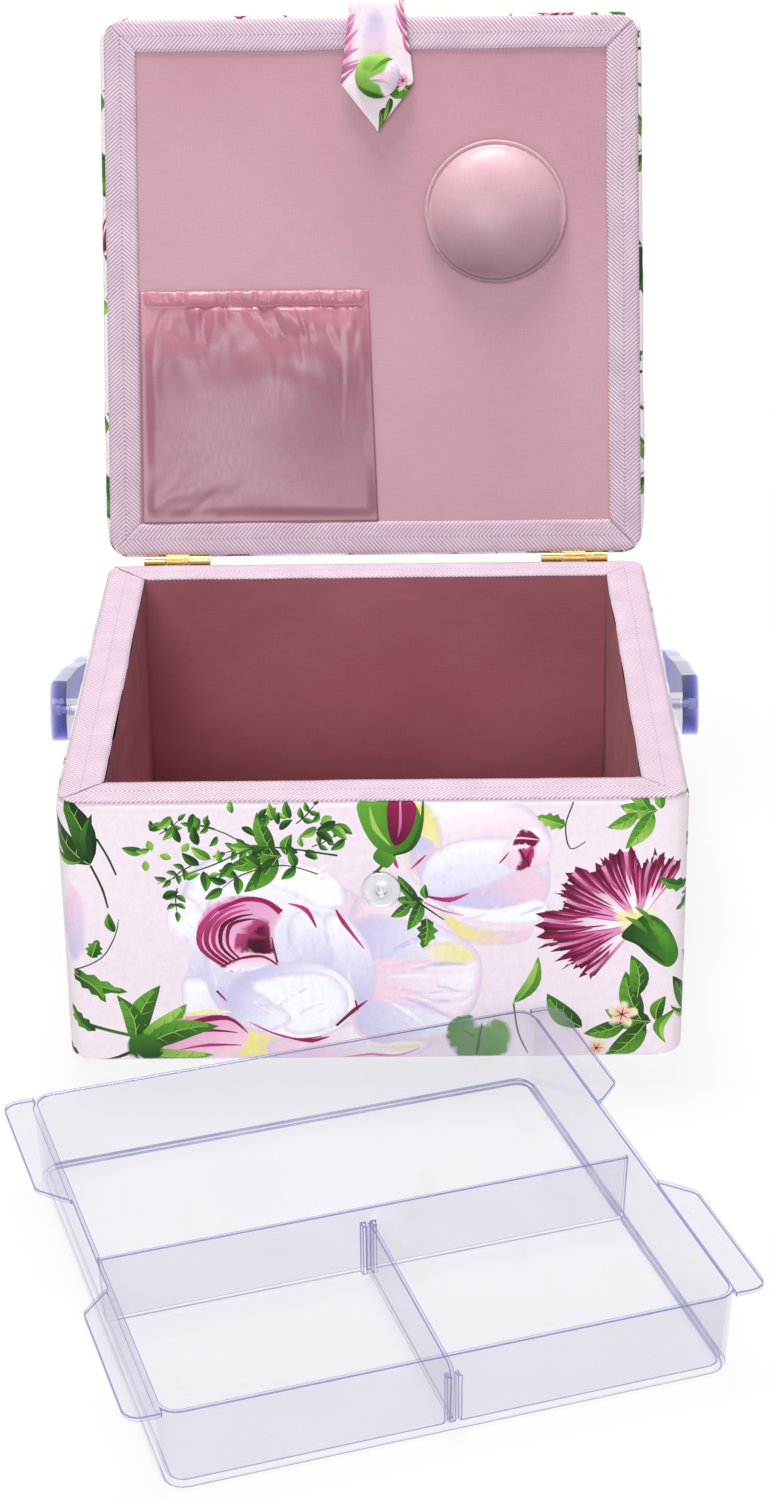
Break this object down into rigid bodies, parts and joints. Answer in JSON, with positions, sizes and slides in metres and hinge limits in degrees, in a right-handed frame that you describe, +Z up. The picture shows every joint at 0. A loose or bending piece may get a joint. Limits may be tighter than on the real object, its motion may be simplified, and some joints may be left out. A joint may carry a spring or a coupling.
{
  "type": "sewing box with tray",
  "caption": "Square fabric-covered sewing box with a hinged lined lid, snap tab, side-pivoted clear swing handle and a loose clear divided tray.",
  "frame": {"origin": "centre of the box's flat underside, on the floor", "axes": "+Z up, +Y from the box's front to its back, +X to the right as seen from the front; the longest extent is along Y because the tray stands in front of the box and the lid leans back"},
  "size_m": [0.289, 0.6401, 0.3619],
  "materials": {
    "floral_fabric": "matte printed cotton",
    "satin_lining": "satin",
    "herringbone_tape": "matte herringbone twill",
    "fibreboard": "raw",
    "brass": "polished",
    "chrome": "polished",
    "clear_plastic": "clear, moulded",
    "white_plastic": "moulded",
    "elastic": "matte"
  },
  "bodies": {
    "box": {"base_board": "fibreboard", "board_back": "fibreboard", "board_front": "fibreboard", "board_left": "fibreboard", "board_right": "fibreboard", "box_cover": "floral_fabric", "handle_nut_left": "chrome", "handle_nut_right": "chrome", "handle_screw_left": "white_plastic", "handle_screw_right": "white_plastic", "handle_spacer_left": "clear_plastic", "handle_spacer_right": "clear_plastic", "hinge_left_lower": "brass", "hinge_left_lower_screw_1": "brass", "hinge_left_lower_screw_2": "brass", "hinge_left_pin": "brass", "hinge_right_lower": "brass", "hinge_right_lower_screw_1": "brass", "hinge_right_lower_screw_2": "brass", "hinge_right_pin": "brass", "lining_back": "satin_lining", "lining_floor": "satin_lining", "lining_front": "satin_lining", "lining_left": "satin_lining", "lining_right": "satin_lining", "rim_tape": "herringbone_tape", "snap_backplate": "chrome", "snap_socket": "chrome", "underside_panel": "floral_fabric"},
    "lid": {"lid_board": "fibreboard", "lid_cover": "floral_fabric", "lid_lining": "satin_lining", "lid_tape": "herringbone_tape", "pocket": "satin_lining", "pocket_elastic": "elastic", "pincushion": "satin_lining", "pincushion_base": "fibreboard", "tab_root": "floral_fabric", "hinge_left_upper": "brass", "hinge_left_upper_screw_1": "brass", "hinge_left_upper_screw_2": "brass", "hinge_right_upper": "brass", "hinge_right_upper_screw_1": "brass", "hinge_right_upper_screw_2": "brass"},
    "tab": {"tab_strap": "floral_fabric", "tab_button": "floral_fabric", "snap_stud": "chrome"},
    "handle": {"handle": "clear_plastic"},
    "tray": {"tray": "clear_plastic"},
    "divider": {"tray_divider": "clear_plastic"}
  },
  "joints": [
    {"name": "lid_hinge", "type": "hinge", "parent": "box", "child": "lid", "pos_m": [0, 0.1272, 0.1206], "axis": [1, 0, 0], "range_deg": [0, 113]},
    {"name": "tab_fold", "type": "hinge", "parent": "lid", "child": "tab", "pos_m": [0.003, 0.22462, 0.36099], "axis": [1, 0, 0], "range_deg": [-90, 0]},
    {"name": "handle_swing", "type": "hinge", "parent": "box", "child": "handle", "pos_m": [0, 0, 0.1025], "axis": [1, 0, 0], "range_deg": [0, 108.5]},
    {"name": "tray_lift", "type": "slide", "parent": "box", "child": "tray", "axis": [0, 0, 1], "range_m": [0, 0.2]},
    {"name": "divider_lift", "type": "slide", "parent": "tray", "child": "divider", "axis": [0, 0, 1], "range_m": [0, 0.035]}
  ],
  "couplings": [
    {"joint": "tab_fold", "follows": "lid_hinge", "ratio": -0.79646},
    {"joint": "handle_swing", "follows": "lid_hinge", "ratio": 0.96018}
  ]
}
